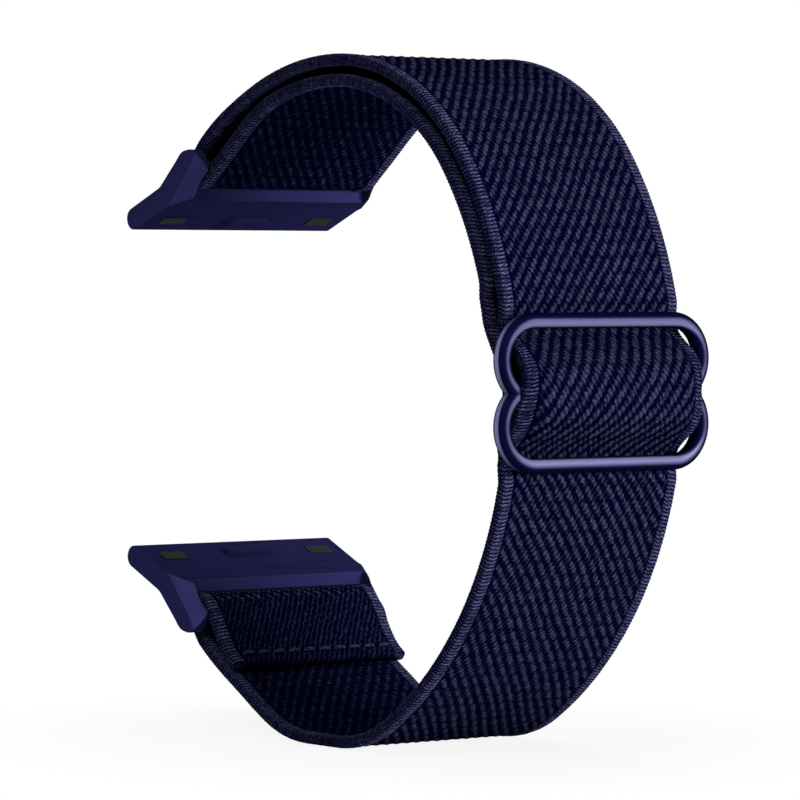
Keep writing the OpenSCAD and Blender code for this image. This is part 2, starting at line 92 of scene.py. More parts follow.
def spread(tree, value, low, high, to_low, to_high, kind="LINEAR"):
    """Takes a value from the range low to high into the range to_low to to_high."""
    limits = {"From Min": low, "From Max": high, "To Min": to_low, "To Max": to_high}
    node = put(tree, "ShaderNodeMapRange", {"Value": value, **limits}, interpolation_type=kind)
    return node.outputs[0]


def new_material(name):
    """An empty material and its node tree."""
    material = bpy.data.materials.new(name)
    material.use_nodes = True
    material.node_tree.nodes.clear()
    return material, material.node_tree


def sees_background(tree):
    """1 for rays from the camera, in a reflection or through glass, else 0."""
    path = put(tree, "ShaderNodeLightPath")
    seen = math_of(tree, "MAXIMUM", path.outputs["Is Camera Ray"], path.outputs["Is Glossy Ray"])
    return math_of(tree, "MAXIMUM", seen, path.outputs["Is Transmission Ray"])


table_paint, tree = new_material("table_paint")
place = put(tree, "ShaderNodeNewGeometry")
flat_place = put(tree, "ShaderNodeVectorMath", {0: place.outputs["Position"], 1: (1, 1, 0)},
                 operation="MULTIPLY")
distance = put(tree, "ShaderNodeVectorMath", {0: flat_place.outputs[0]}, operation="LENGTH")
fade = spread(tree, distance.outputs["Value"], FADE_NEAR, FADE_FAR, 1 - SHADOW_KEPT, 1.0,
              "SMOOTHSTEP")
paint = put(tree, "ShaderNodeBsdfDiffuse", {"Color": TABLE_COLOUR})
glow = put(tree, "ShaderNodeEmission", {"Color": WHITE, "Strength": 1.0})
share = math_of(tree, "MULTIPLY", sees_background(tree), fade)
mixed = put(tree, "ShaderNodeMixShader", {0: share, 1: paint.outputs[0], 2: glow.outputs[0]})
put(tree, "ShaderNodeOutputMaterial", {"Surface": mixed.outputs[0]})
table_mesh.materials.append(table_paint)

world = bpy.data.worlds.new("plain_surround")
bpy.context.scene.world = world
world.use_nodes = True
tree = world.node_tree
tree.nodes.clear()
level = spread(tree, sees_background(tree), 0.0, 1.0, ROOM_LEVEL, 1.0)
surround = put(tree, "ShaderNodeBackground", {"Color": WHITE, "Strength": level})
put(tree, "ShaderNodeOutputWorld", {"Surface": surround.outputs[0]})

STRAP_MIDDLE = (0, 0, 0.038)


def soft_box(name, place, size, power):
    """A rectangular lamp aimed at the middle of the strap."""
    lamp = bpy.data.lights.new(name, "AREA")
    lamp.shape, lamp.size, lamp.size_y = "RECTANGLE", size[0], size[1]
    lamp.energy = power
    holder = bpy.data.objects.new(name, lamp)
    bpy.context.scene.collection.objects.link(holder)
    holder.location = place
    away = np.array(place) - np.array(STRAP_MIDDLE)
    holder.rotation_euler = (math.atan2(math.hypot(away[0], away[1]), away[2]), 0,
                             math.atan2(away[1], away[0]) + math.pi / 2)


soft_box("key_box", place=(0.20, -0.73, 0.15), size=(0.36, 0.16), power=6.0)
soft_box("side_box", place=(-0.50, -0.25, 0.55), size=(0.2, 0.4), power=2.0)
soft_box("rear_box", place=(0.22, 0.70, 0.30), size=(0.4, 0.3), power=3.5)

AZIMUTH, ELEVATION, ROLL = math.radians(39.6), math.radians(1.92), math.radians(0.82)
FOCUS, SENSOR_WIDTH = 5115 / 800, 36    # focal length in widths of the picture
AIM_MM, CAMERA_DISTANCE = (0, 2.1972, 40.56), 550 * MM
PICTURE_SHIFT = -38 / 800               # in widths of the picture
forward = np.array((math.sin(AZIMUTH) * math.cos(ELEVATION),
                    math.cos(AZIMUTH) * math.cos(ELEVATION), -math.sin(ELEVATION)))
level_right = np.array((math.cos(AZIMUTH), -math.sin(AZIMUTH), 0))
level_up = np.cross(level_right, forward)
right = math.cos(ROLL) * level_right + math.sin(ROLL) * level_up
up = math.cos(ROLL) * level_up - math.sin(ROLL) * level_right
eye = np.array(AIM_MM) * MM - forward * CAMERA_DISTANCE
camera_data = bpy.data.cameras.new("camera")
camera_data.sensor_width = SENSOR_WIDTH
camera_data.lens = FOCUS * SENSOR_WIDTH
camera_data.shift_y = PICTURE_SHIFT
camera_data.clip_start = 0.01
camera = bpy.data.objects.new("camera", camera_data)
camera.matrix_world = Matrix([[right[i], up[i], -forward[i], eye[i]] for i in range(3)]
                             + [[0, 0, 0, 1]])
bpy.context.scene.collection.objects.link(camera)
bpy.context.scene.camera = camera
bpy.context.scene.view_settings.view_transform = "Standard"

# ---------------------------------------------------------------- Lower stretch of webbing
# Elastic nylon webbing, 24 mm wide: a chunky twill of twisted yarns between two whipped
# edges. This stretch starts at the sewn flap, turns round the lower spring bar and runs
# under the wrist and up the front as far as the buckle.
WEB_W, WEB_T = 24.0, 1.2                 # all sizes in mm, headings and turns in degrees
EDGE_W, EDGE_PROUD = 1.5, 0.06           # a whipped edge: its width, and how far it stands out
FRONT_R, FRONT_LOW, FRONT_HIGH = 41.8, 33, 52   # each bend of the loop: radius and turn
CROWN_R, REAR_TOP_R, REAR_TOP_FALL = 25.5, 34.5, 40
HEEL_R, FOOT_LEN, TOE_R, TOE_RISE = 16.4, 5.0, 15.0, 28
REAR_LOW_R, REAR_LOW_RISE = 62.0, 38
UPPER_LEAD, LOWER_LEAD = 3.9, 5.2        # straight runs beside the spring bars
FLAP_TURN = 3.4                          # how far past its lead the sewn flap reaches
FOLD_R = 0.95                            # inner radius of the turn round a spring bar
FOLD_OUT = FOLD_R + WEB_T
TOUCH = 0.05                             # air between layers that lie on each other
BUCKLE_H, HALF_PITCH = 88.85, 7.4        # heading at the buckle; centre bar to outer bar
PRESS_IN, SETTLE = 0.5, 2.2              # how deep the bars press in, and over what length
SWELL_UP, SWELL_TOP, SWELL_DOWN = 2.5, 3, 9     # how the strip bows out beside a bar
POINT_STEP = 0.05                        # between the points of the paths


def out(h):
    """Outward normal, (Y, Z), for a heading along the loop in degrees."""
    h = np.radians(h)
    return np.stack((-np.sin(h), np.cos(h)), -1)


def along(h):
    """Direction of travel, (Y, Z), for a heading in degrees."""
    h = np.radians(h)
    return np.stack((np.cos(h), np.sin(h)), -1)


upper_h, lower_h = -REAR_TOP_FALL, 180 + REAR_LOW_RISE
heel_c = np.array((0, HEEL_R + EDGE_PROUD))
front_c = heel_c + (HEEL_R - FRONT_R) * out(180 - FRONT_LOW)
crown_c = front_c + (FRONT_R - CROWN_R) * out(FRONT_HIGH)
rear_top_c = crown_c + (CROWN_R - REAR_TOP_R) * out(0)
toe_c = np.array((FOOT_LEN, TOE_R + EDGE_PROUD))
rear_low_c = toe_c + (TOE_R - REAR_LOW_R) * out(180 + TOE_RISE)
upper_bar = rear_top_c + (REAR_TOP_R - FOLD_OUT) * out(upper_h) + UPPER_LEAD * along(upper_h)
lower_bar = rear_low_c + (REAR_LOW_R - FOLD_OUT) * out(lower_h) - LOWER_LEAD * along(lower_h)
bar_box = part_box("upper_bar_tube")
to_frame = np.array(((bar_box[0].y + bar_box[1].y) / 2 / MM - upper_bar[0], 0))
for centre in (heel_c, front_c, crown_c, rear_top_c, toe_c, rear_low_c, upper_bar, lower_bar):
    centre += to_frame


def bend(centre, radius, start, end):
    """Closely spaced outer points of one bend of the loop, and their headings."""
    count = max(3, int(abs(end - start) * math.radians(1) * radius / POINT_STEP))
    h = np.linspace(start, end, count)
    return centre + radius * out(h), h


def straight(point, h, length):
    """The same for a straight run from a point."""
    x = np.linspace(0, length, max(3, int(length / POINT_STEP)))
    return point + x[:, None] * along(h), np.full(len(x), float(h))


def joined(*parts):
    """Runs end to end, each without the point that it shares with the one before."""
    return (np.concatenate([p[0][(i > 0):] for i, p in enumerate(parts)]),
            np.concatenate([p[1][(i > 0):] for i, p in enumerate(parts)]))


def ease(x):
    """0 to 1 with soft ends."""
    x = np.clip(x, 0, 1)
    return x * x * (3 - 2 * x)


def s_heading(s):
    """Heading of the place that lies s above the centre bar on the front arc."""
    return BUCKLE_H - np.degrees(np.asarray(s) / FRONT_R)


def pressed(h):
    """How deep the buckle's bars press the webbing in, by heading."""
    s = np.abs(BUCKLE_H - h) * math.radians(1) * FRONT_R
    return PRESS_IN * (1 - ease((s - HALF_PITCH) / SETTLE))


def swell(points, bar_end, rise):
    """How far the strip bows out beside a spring bar before it settles into the loop."""
    away = np.linalg.norm(points - bar_end, axis=1)
    return rise * ease(away / SWELL_UP) * (1 - ease((away - SWELL_TOP) / SWELL_DOWN))


CHANCES = 64
chance = np.random.default_rng(11).random((CHANCES, CHANCES, 3))


def drawn(row, column):
    """Three numbers from 0 to 1 that always come out the same for one yarn or stitch."""
    return chance[(row % CHANCES).astype(int), (column % CHANCES).astype(int)]


CELL_ACROSS, CELL_ALONG = 1.38, 1.67     # one repeat of the twill
RIDGE_DEPTH = 0.13                       # from the top of a yarn to the groove beside it
WANDER = ((0.10, 2.9, 5.1), (0.07, 1.7, -3.3))   # drift of the rows: reach, length, breadth
JITTER, BEAD_UNEVEN = 0.10, 0.26         # how much beads differ in place and in height
BEAD_HALF, BEAD_TAPER, BEAD_DROP = 0.33, 0.07, 0.55   # half width, and its ends' loss
SOFT_WIDER, SOFT_FULLER = 0.04, 0.2      # what a soft weave adds to them
KNOT_H, KNOT_ACROSS, KNOT_ALONG = 0.62, 0.17, 0.10
RUNG_H, RUNGS = 0.34, 4                  # cross yarns that show between the rows


def twill(u, s, cell=1.0, soft=0.0):
    """Relief of the twill, 0 in a groove to 1 on a yarn: rows of long beads, each row half
    a bead ahead of the next, with a small knot where two beads of a row meet."""
    wander = sum(reach * np.sin(s / long + u / broad) for reach, long, broad in WANDER)
    x, y = (u + wander) / (CELL_ACROSS * cell), s / (CELL_ALONG * cell)
    a, b = x - y, (x + y) / 2
    row = np.round(a)
    bead = np.round(b - row / 2)
    fa, fb = a - row, b - row / 2 - bead
    draw = drawn(row, bead)
    fa = fa + JITTER * (draw[..., 0] - 0.5)
    fb = fb + JITTER * (draw[..., 1] - 0.5)
    half_bead = BEAD_HALF + SOFT_WIDER * soft - BEAD_TAPER * np.abs(2 * fb) ** 3
    body = np.clip(1 - (fa / half_bead) ** 2, 0, 1) ** 0.6
    body = body * (1 - (BEAD_DROP - SOFT_FULLER * soft) * np.abs(2 * fb) ** 4)
    body = body * (1 - BEAD_UNEVEN + BEAD_UNEVEN * draw[..., 2])
    knot = KNOT_H * np.exp(-(fa / KNOT_ACROSS) ** 2 - ((np.abs(fb) - 0.5) / KNOT_ALONG) ** 2)
    rung = RUNG_H * (0.5 + 0.5 * np.cos(2 * math.pi * (RUNGS * fb + 0.25 * row)))
    return np.maximum(np.maximum(body, knot), rung)


DOT_ACROSS, DOT_ALONG = 0.82, 0.74       # from dot to dot, and from row to row
DOT_WIDE, DOT_LONG, DOT_VARIES = 0.40, 0.46, 0.06
DOT_H, DOT_UNEVEN, GROUND_H = 0.35, 0.16, 0.33


def birdseye(u, s):
    """Relief of the plain back of the webbing: small round dots in staggered rows."""
    x, y = u / DOT_ACROSS, s / DOT_ALONG
    row = np.round(y)
    fx = x + 0.5 * (row % 2)
    draw = drawn(row, np.round(fx))
    fx, fy = fx - np.round(fx), y - row
    r2 = (fx / (DOT_WIDE + DOT_VARIES * draw[..., 0])) ** 2 + (fy / DOT_LONG) ** 2
    dome = np.sqrt(np.clip(1 - r2, 0, 1))
    return np.maximum(dome * (DOT_H + DOT_UNEVEN * draw[..., 2]), GROUND_H)


def even_rows(points, thick, spacing):
    """The path at even steps: points, outward normals, thickness and length so far."""
    steps = np.linalg.norm(np.diff(points, axis=0), axis=1)
    length = np.concatenate(([0], np.cumsum(steps)))
    s = np.linspace(0, length[-1], max(4, int(round(length[-1] / spacing))))
    p = np.stack((np.interp(s, length, points[:, 0]), np.interp(s, length, points[:, 1])), 1)
    t = np.gradient(p, s, axis=0)
    t /= np.linalg.norm(t, axis=1)[:, None]
    thick = np.interp(s, length, thick * np.ones(len(length)))[:, None]
    return p, np.stack((-t[:, 1], t[:, 0]), 1), thick, s


def tube_faces(rows, ring, first):
    """Quads of a closed tube of rings, and its two end caps."""
    i, j = np.meshgrid(np.arange(rows - 1), np.arange(ring), indexing="ij")
    k = (j + 1) % ring
    quads = np.stack((i * ring + j, i * ring + k, (i + 1) * ring + k, (i + 1) * ring + j), -1)
    caps = [first + np.arange(ring)[::-1], first + (rows - 1) * ring + np.arange(ring)]
    return quads.reshape(-1, 4) + first, caps


def mesh_of(name, verts, quads, caps, uv, relief, slots):
    """One closed mesh from numpy arrays; slots are the material numbers of quads and caps."""
    mesh = bpy.data.meshes.new(name)
    corners = np.concatenate([quads.ravel()] + caps)
    sizes = np.concatenate((np.full(len(quads), 4), [len(c) for c in caps]))
    mesh.vertices.add(len(verts))
    mesh.vertices.foreach_set("co", (verts * MM).astype(np.float32).ravel())
    mesh.loops.add(len(corners))
    mesh.loops.foreach_set("vertex_index", corners.astype(np.int32))
    mesh.polygons.add(len(sizes))
    mesh.polygons.foreach_set("loop_start",
                              np.concatenate(([0], np.cumsum(sizes)[:-1])).astype(np.int32))
    mesh.polygons.foreach_set("use_smooth", np.ones(len(sizes), bool))
    mesh.polygons.foreach_set("material_index", np.asarray(slots, np.int32))
    mesh.update(calc_edges=True)
    layer = mesh.uv_layers.new(name="woven_mm")
    layer.data.foreach_set("uv", uv[corners].astype(np.float32).ravel())
    mesh.attributes.new("relief", "FLOAT", "POINT").data.foreach_set(
        "value", relief.astype(np.float32))
    mesh.validate()
    piece = bpy.data.objects.new(name, mesh)
    bpy.context.scene.collection.objects.link(piece)
    return piece


CORE_UNDER, CORE_FADE = 0.12, 0.35       # the woven core under the edges, and where it flattens
YARN_LEVEL = 0.9                         # relief that lies level with the plain strip
PIPING_POINTS, PIPING_STEP, PIPING_SQUARE = 32, 0.1, 0.62
WHIP_PITCH, WHIP_H = 0.42, 0.075         # one stitch of the whipping: its pitch and height
WHIP_SLANT, WHIP_UNEVEN = (0.22, 0.5), 0.40
FLANK_SHADE, FLANK_FADE = 0.45, 0.5      # painted shade: the whipping's sides are coloured darker than its top
FLANK_FROM, FLANK_VARIES = 0.30, 0.25
EDGE_UV_APART = 40                       # keeps the fibres of edge and core from matching


def squared(v):
    """Rounds a sine or cosine out towards a square, for the section of the edges."""
    return np.sign(v) * np.abs(v) ** PIPING_SQUARE


def webbing(name, points, thick, face, back, lean=1, start=0.0, fine=0.14, across=0.13,
            back_across=0.2, edge_light=1.0, turn_over=math.inf):
    """A stretch of webbing along outer points (Y, Z): the twill core and two whipped edges.
    face and back give the relief of its two sides; lean turns the twill the other way, and
    so does turn_over, from that distance on. fine and across are the mesh's steps."""
    p, n, t, s = even_rows(points, thick, fine)
    half_core = WEB_W / 2 - EDGE_W + CORE_UNDER
    sides = []
    for side, step, relief in ((1, across, face), (-1, back_across, back)):
        u = side * np.linspace(-half_core, half_core, int(2 * half_core / step))
        gu, gs = np.meshgrid(u, s + start)
        mirrored = np.where(gs < turn_over, lean, -lean) * gu
        h = relief(mirrored, gs)
        edge = ease((half_core - np.abs(gu)) / CORE_FADE)
        lift = RIDGE_DEPTH * (h * edge - YARN_LEVEL)
        base = (p if side > 0 else p - n * t)[:, None, :]
        yz = base + side * n[:, None, :] * lift[..., None]
        sides.append((np.concatenate((gu[..., None], yz), -1),
                      np.stack((mirrored, gs), -1), h * edge))
    ring = sides[0][0].shape[1] + sides[1][0].shape[1]
    verts = [np.concatenate([x[0] for x in sides], 1).reshape(-1, 3)]
    uv = [np.concatenate([x[1] for x in sides], 1).reshape(-1, 2)]
    shade = [np.concatenate([x[2] for x in sides], 1).ravel()]
    quads, caps = tube_faces(len(s), ring, 0)
    quads, slots = [quads], [np.zeros(len(quads), int)]
    count = len(verts[0])
    # the two edges: a rounded piping whipped over with short oblique stitches
    p, n, t, s = even_rows(points, thick, PIPING_STEP)
    turn = np.linspace(0, 2 * math.pi, PIPING_POINTS, endpoint=False)[None, :]
    cos, sin = np.cos(turn), np.sin(turn)
    half_t = t / 2
    centre = p[:, None, :] - n[:, None, :] * half_t[:, :, None]
    for side in (-1, 1):
        slant = WHIP_SLANT[0] * cos + WHIP_SLANT[1] * sin
        phase = (s[:, None] + start) / WHIP_PITCH + slant
        stitch = np.round(phase)
        draw = drawn(stitch, np.array(7 * (side + 1)))     # its own draws for each edge
        bump = np.cos(2 * math.pi * (phase - stitch)) * 0.5 + 0.5
        bump = bump ** 0.8 * (1 - WHIP_UNEVEN + WHIP_UNEVEN * draw[..., 2])
        grow = WHIP_H * (bump - 0.8)
        flank = (np.abs(sin) - (FLANK_FROM + FLANK_VARIES * draw[..., 1])) / FLANK_FADE
        # painted shade: the whipping's sides are coloured darker than its top, and edge_light
        # paints a whole edge darker
        bump = bump * (1 - FLANK_SHADE + FLANK_SHADE * ease(flank)) * edge_light
        x = side * (WEB_W / 2 - EDGE_W / 2 + (EDGE_W / 2 * squared(cos) + grow * cos))
        away = (half_t + EDGE_PROUD) * squared(sin) + grow * sin
        yz = centre + n[:, None, :] * away[..., None]
        ring_points = np.concatenate((x[..., None], yz), -1)
        round_it = turn / (2 * math.pi) * 2 * (EDGE_W + WEB_T)
        if side > 0:
            ring_points, bump, round_it = ring_points[:, ::-1], bump[:, ::-1], round_it[:, ::-1]
        lies = np.broadcast_arrays(round_it + EDGE_UV_APART, s[:, None] + start)
        verts.append(ring_points.reshape(-1, 3))
        uv.append(np.stack(lies, -1).reshape(-1, 2))
        shade.append(bump.ravel())
        more, more_caps = tube_faces(len(s), PIPING_POINTS, count)
        quads.append(more)
        caps += more_caps
        slots.append(np.ones(len(more), int))
        count += len(verts[-1])
    slots.append([0, 0, 1, 1, 1, 1])     # the end caps of the core, then of the edges
    return mesh_of(name, np.concatenate(verts), np.concatenate(quads), caps, np.concatenate(uv),
                   np.concatenate(shade), np.concatenate(slots))


WARP_SCALE, WARP_BY = 1.6, 1.4           # how the filaments wander: per mm, and by how many turns
DYE_SCALE, FLECK_SCALE = 0.9, 3.6        # cloudy dye and small flecks, per mm


def fibre_group():
    """Yarn effect: twisted filaments drawn as fine slanting strokes, with uneven dye."""
    tree = bpy.data.node_groups.new("twisted_fibres", "ShaderNodeTree")
    for name, kind in (("Place", "NodeSocketVector"), ("Pitch", "NodeSocketFloat"),
                       ("Slant", "NodeSocketFloat")):
        tree.interface.new_socket(name, in_out="INPUT", socket_type=kind)
    for name in ("Strokes", "Uneven", "Flecks"):
        tree.interface.new_socket(name, in_out="OUTPUT", socket_type="NodeSocketFloat")
    given = put(tree, "NodeGroupInput")
    lies = given.outputs["Place"]
    turned = put(tree, "ShaderNodeVectorRotate", {"Vector": lies, "Angle": given.outputs["Slant"]},
                 rotation_type="Z_AXIS")
    warp = put(tree, "ShaderNodeTexNoise", {"Vector": lies, "Scale": WARP_SCALE, "Detail": 2.0})
    warp_by = math_of(tree, "MULTIPLY", warp.outputs["Fac"], WARP_BY)
    line = put(tree, "ShaderNodeSeparateXYZ", {0: turned.outputs[0]})
    turns = math_of(tree, "DIVIDE", line.outputs["X"], given.outputs["Pitch"])
    angle = math_of(tree, "MULTIPLY", math_of(tree, "ADD", turns, warp_by), 2 * math.pi)
    wave = math_of(tree, "MULTIPLY", math_of(tree, "SINE", angle), 0.5)
    strokes = math_of(tree, "ADD", wave, 0.5)
    uneven = put(tree, "ShaderNodeTexNoise", {"Vector": lies, "Scale": DYE_SCALE,
                                              "Detail": 3.0, "Roughness": 0.65})
    flecks = put(tree, "ShaderNodeTexNoise", {"Vector": lies, "Scale": FLECK_SCALE,
                                              "Detail": 1.0})
    put(tree, "NodeGroupOutput", {"Strokes": strokes, "Uneven": uneven.outputs["Fac"],
                                  "Flecks": flecks.outputs["Fac"]})
    return tree


twisted_fibres = fibre_group()
STROKE_LOW = 0.5                                # light of a filament's shaded side
CLOUDED, FLECKED = (0.25, 0.75, 0.55, 1.25), (0.3, 0.7, 0.35, 1.45)   # dye, from range to range
YARN_ROUGH, ROUGH_VARIES = 0.8, 0.08


def yarn_material(name, dark, light, pitch, slant, depth, fray=0.4, start=0.34):
    """Dyed navy yarn, with painted shade between the yarns and a painted highlight on top of them,
    and its filaments. pitch, slant and depth are the filaments', fray how far they break up the
    yarn's outline, and start the relief at which the painted highlight begins."""
    material, tree = new_material(name)
    lies = put(tree, "ShaderNodeUVMap", uv_map="woven_mm")
    fibres = put(tree, "ShaderNodeGroup", node_tree=twisted_fibres)
    tree.links.new(lies.outputs["UV"], fibres.inputs["Place"])
    fibres.inputs["Pitch"].default_value = pitch
    fibres.inputs["Slant"].default_value = slant
    strokes, uneven = fibres.outputs["Strokes"], fibres.outputs["Uneven"]
    relief = put(tree, "ShaderNodeAttribute", attribute_name="relief")
    frayed = math_of(tree, "MULTIPLY_ADD", strokes, fray)
    tree.links.new(relief.outputs["Fac"], frayed.node.inputs[2])
    top = spread(tree, frayed, start + fray / 2, 1.0 + fray / 2, 0.0, 1.0, "SMOOTHSTEP")
    lit = math_of(tree, "MULTIPLY", top, spread(tree, strokes, 0.0, 1.0, STROKE_LOW, 1.0))
    lit = math_of(tree, "MULTIPLY", lit, spread(tree, uneven, *CLOUDED))
    lit = math_of(tree, "MULTIPLY", lit, spread(tree, fibres.outputs["Flecks"], *FLECKED),
                  clamp=True)
    # dark is painted shade between the yarns, light a painted highlight on their tops
    colour = put(tree, "ShaderNodeMix", {0: lit, 6: dark, 7: light}, data_type="RGBA")
    dull = spread(tree, uneven, 0.0, 1.0, YARN_ROUGH + ROUGH_VARIES, YARN_ROUGH - ROUGH_VARIES)
    bump = put(tree, "ShaderNodeBump", {"Strength": 1.0, "Distance": depth * MM,
                                        "Height": strokes})
    cloth = put(tree, "ShaderNodeBsdfPrincipled",
                {"Base Color": colour.outputs[2], "Roughness": dull,
                 "Normal": bump.outputs[0], "Specular IOR Level": 0.0})
    put(tree, "ShaderNodeOutputMaterial", {"Surface": cloth.outputs[0]})
    return material


# the dark colours are painted shade between the yarns, the light ones painted highlights on their
# tops
webbing_yarn = yarn_material("webbing_yarn", dark=(0.0004, 0.0008, 0.0125, 1),
                             light=(0.046, 0.048, 0.100, 1), pitch=0.59, slant=2.56,
                             depth=0.05, fray=0.36, start=0.23)
edge_yarn = yarn_material("edge_yarn", dark=(0.0012, 0.0014, 0.0190, 1),
                          light=(0.110, 0.110, 0.225, 1), pitch=0.33, slant=1.05,
                          depth=0.02, fray=0.25, start=0.05)


def dress(piece):
    """Gives a stretch of webbing its two yarns."""
    piece.data.materials.append(webbing_yarn)
    piece.data.materials.append(edge_yarn)
    return piece


FLAP_CLOSES = 1.15       # over 1, so that the flap lies flat on the strip before its end
FLAP_BORDER = 1.2        # length over which its dotted side gives way to the twill
LOWER_SWELL = 0.5
WRIST_GROUND, WRIST_RISE = 0.08, 0.50
flap_h = lower_h - math.degrees(FLAP_TURN / REAR_LOW_R)
down_slope = joined(straight(lower_bar + FOLD_OUT * out(lower_h), lower_h, LOWER_LEAD),
                    bend(rear_low_c, REAR_LOW_R, lower_h, flap_h))
far = np.linalg.norm(down_slope[0] - down_slope[0][0], axis=1)
flap_lie = 2 * WEB_T + 2 * EDGE_PROUD + TOUCH
open_by = 2 * FOLD_R + 2 * WEB_T
flap_depth = open_by + (flap_lie - open_by) * ease(far / far[-1] * FLAP_CLOSES)
flap = (down_slope[0] - flap_depth[:, None] * out(down_slope[1]))[::-1]
turn_low = bend(lower_bar, FOLD_OUT, lower_h + 180, lower_h)[0]
front_part = bend(front_c, FRONT_R, 180 - FRONT_LOW, s_heading(-HALF_PITCH))
under = joined(down_slope, bend(rear_low_c, REAR_LOW_R, flap_h, 180 + TOE_RISE),
               bend(toe_c, TOE_R, 180 + TOE_RISE, 180),
               straight(toe_c + TOE_R * out(180), 180, FOOT_LEN),
               bend(heel_c, HEEL_R, 180, 180 - FRONT_LOW), front_part)
depth = pressed(under[1]) - swell(under[0], under[0][0], LOWER_SWELL)
under_points = under[0] - depth[:, None] * out(under[1])
lower_path = np.concatenate((flap, turn_low[1:], under_points[1:]))
flap_end = len(flap) * POINT_STEP


def lower_face(u, s):
    """The flap shows the plain dotted back of the webbing, the rest its twill."""
    flap_part = 1 - ease((s - flap_end + FLAP_BORDER / 2) / FLAP_BORDER)
    return twill(u, s) * (1 - flap_part) + birdseye(u, s) * flap_part


def wrist_face(u, s):
    """The side towards the wrist is woven flatter, so less of each yarn stands out; the lower
    relief also colours it darker, in part painted shade of the loop's inside.
    """
    return WRIST_GROUND + WRIST_RISE * twill(u, s)


lower_webbing = dress(webbing("lower_webbing", lower_path, WEB_T, lower_face, wrist_face,
                              lean=-1))
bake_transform(lower_webbing)
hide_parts("webbing_lower_fold", "webbing_lower_run")

# ---------------------------------------------------------------- Webbing in the buckle
# The same strip threads up behind the bottom bar, over the centre bar with the sewn end
# wrapped round it, and down behind the top bar, so it crowns out of the frame's window.
CREST_R, PASS_POINTS = 45.15, 300        # radius of the crest over the centre bar
PRESS_R = FRONT_R - PRESS_IN
RISE_LEN, RISE_POW = 6.9, 1.5            # half length of the crest, and how steep its sides are
# PASS_LIGHT and PASS_EDGE_LIGHT colour the pass and its edges darker: painted shade inside the
# frame
PASS_CELL, PASS_DRAWN, PASS_LIGHT, PASS_EDGE_LIGHT = 1.12, 0.86, 0.93, 0.74
CURL_S = (-6.8, -5.2, -3.2, -1.5, 0, 2.5, 5.5)   # the left edge's curl along the pass
CURL_IN = (0, 0.9, 1.9, 2.2, 1.2, 0.5, 0)
CURL_S_RIGHT, CURL_IN_RIGHT = (0, 1.5, 3.5), (0.6, 0.4, 0)
CURL_FROM, CURL_WIDE = 9.3, 2.7                  # how far out across the strip it begins


def front_point(r, s):
    """A point (Y, Z) at radius r and s above the centre bar."""
    return front_c + np.asarray(r)[..., None] * out(s_heading(s))


def pass_radius(s):
    """Outer face of the pass: the crest over the centre bar, with steep sides."""
    x = np.minimum(1, np.abs(s) / RISE_LEN) ** RISE_POW
    return PRESS_R + (CREST_R - PRESS_R) * (1 + np.cos(math.pi * x)) / 2


def pass_face(u, s):
    """Its twill is pulled longer and fuller over the bar, and PASS_LIGHT colours it a little
    darker, as painted shade.
    """
    return PASS_LIGHT * twill(u, PASS_DRAWN * s, cell=PASS_CELL, soft=1.0)


def reshaped(piece, move):
    """Moves a stretch's points: move takes x, (Y, Z) and s, and gives x and (Y, Z)."""
    flat = np.empty(len(piece.data.vertices) * 3, np.float32)
    piece.data.vertices.foreach_get("co", flat)
    co = flat.reshape(-1, 3).astype(float) / MM
    from_front = co[:, 1:] - front_c
    heading = np.degrees(np.arctan2(-from_front[:, 0], from_front[:, 1]))
    x, yz = move(co[:, 0], co[:, 1:], (BUCKLE_H - heading) * math.radians(FRONT_R))
    moved = np.concatenate((x[:, None], yz), 1) * MM
    piece.data.vertices.foreach_set("co", moved.astype(np.float32).ravel())
    piece.data.update()


def cupped(x, yz, s):
    """The strip's edges curl in beside the bar, most just below it on the left."""
    curl = np.where(x < 0, np.interp(s, CURL_S, CURL_IN),
                    np.interp(np.abs(s), CURL_S_RIGHT, CURL_IN_RIGHT))
    fall = curl * ease((np.abs(x) - CURL_FROM) / CURL_WIDE)
    return x, yz - fall[:, None] * out(s_heading(s))


s_pass = np.linspace(-HALF_PITCH, HALF_PITCH, PASS_POINTS)
pass_path = front_point(pass_radius(s_pass), s_pass)
buckle_pass = dress(webbing("buckle_pass_webbing", pass_path, WEB_T, pass_face, birdseye,
                            back_across=0.6, edge_light=PASS_EDGE_LIGHT))
reshaped(buckle_pass, cupped)
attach(buckle_pass, "slider_webbing")
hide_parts("webbing_buckle_pass")

# ---------------------------------------------------------------- Outer layer and upper fold
# From the buckle the strip rises up the front, goes over the crown and down the rear
# slope, and turns round the upper spring bar.
OUTER_START = 2.3                        # places the twill's repeat against the buckle
UPPER_SWELL = 0.3
front_up = bend(front_c, FRONT_R, s_heading(HALF_PITCH), FRONT_HIGH)
over = joined(front_up, bend(crown_c, CROWN_R, FRONT_HIGH, 0),
              bend(rear_top_c, REAR_TOP_R, 0, upper_h),
              straight(rear_top_c + REAR_TOP_R * out(upper_h), upper_h, UPPER_LEAD))
depth = pressed(over[1]) - swell(over[0], over[0][-1], UPPER_SWELL)
turn_up = joined(bend(upper_bar, FOLD_OUT, upper_h, upper_h - 180),
                 straight(upper_bar - FOLD_OUT * out(upper_h), upper_h - 180, UPPER_LEAD))[0]
outer_path = np.concatenate((over[0] - depth[:, None] * out(over[1]), turn_up[1:]))
outer_end = OUTER_START + np.linalg.norm(np.diff(outer_path, axis=0), axis=1).sum()
at_bar = outer_end - UPPER_LEAD - math.pi / 2 * FOLD_OUT


def outer_face(u, s):
    """From the spring bar on this side faces the wrist."""
    return np.where(s < at_bar, twill(u, s), wrist_face(u, s))


outer_webbing = dress(webbing("outer_webbing", outer_path, WEB_T, outer_face, birdseye,
                              start=OUTER_START, back_across=0.5, turn_over=at_bar))
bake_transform(outer_webbing)
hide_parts("webbing_outer_layer", "webbing_upper_fold")

